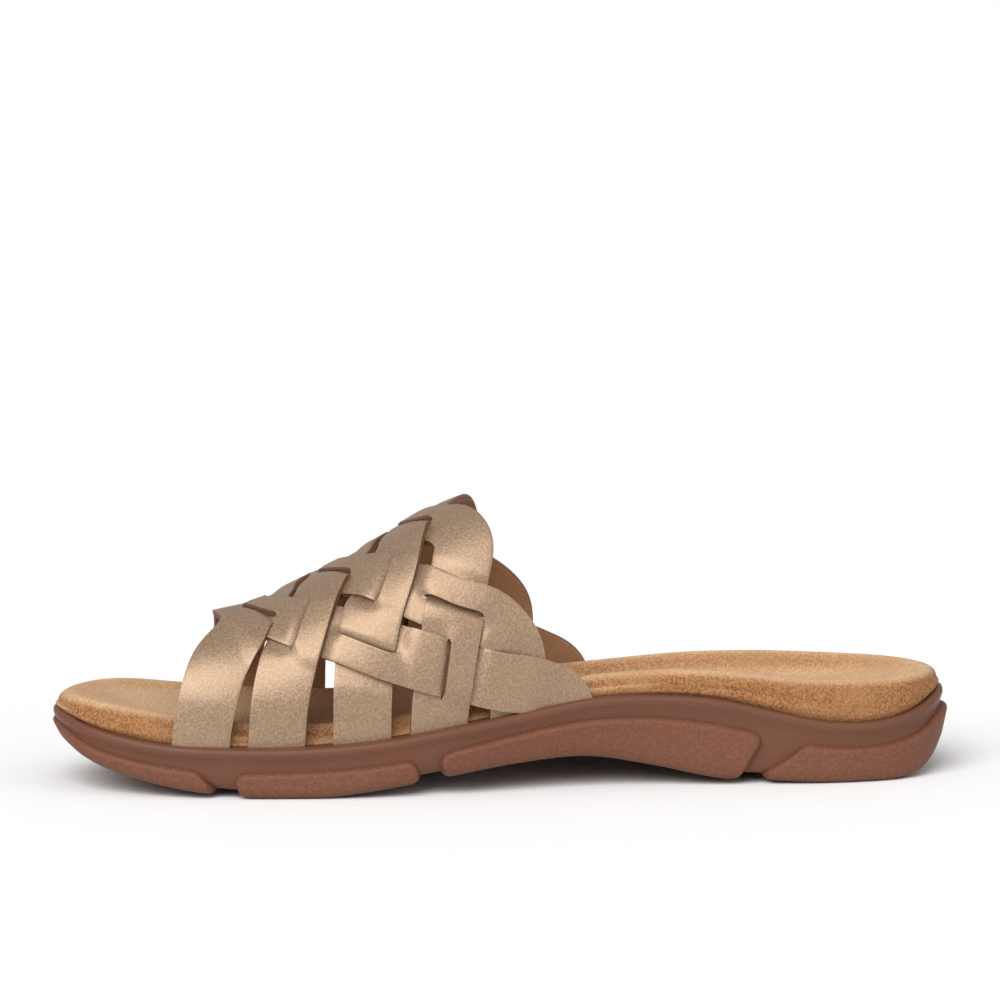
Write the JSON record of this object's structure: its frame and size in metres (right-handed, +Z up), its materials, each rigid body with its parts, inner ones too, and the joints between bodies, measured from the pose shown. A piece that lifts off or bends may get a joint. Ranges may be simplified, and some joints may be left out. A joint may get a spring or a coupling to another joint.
{
  "type": "slide sandal",
  "caption": "Flat open-toe slide sandal with a woven strip upper, a contoured suede footbed and a moulded rubber unit sole with an arch and raised side panels.",
  "frame": {"origin": "centre of the bounding box in plan, on the floor that the sole stands on", "axes": "+X from the toe towards the heel, +Y from the medial towards the lateral side of this right shoe, +Z up"},
  "size_m": [0.2616, 0.093, 0.0791],
  "materials": {
    "outsole": "satin brown moulded rubber, side panels finely pitted",
    "footbed": "tan suede",
    "upper": "champagne metallic leather with a brown lining"
  },
  "bodies": {
    "root": {"outsole": "outsole", "footbed": "footbed", "upper": "upper"}
  },
  "joints": []
}
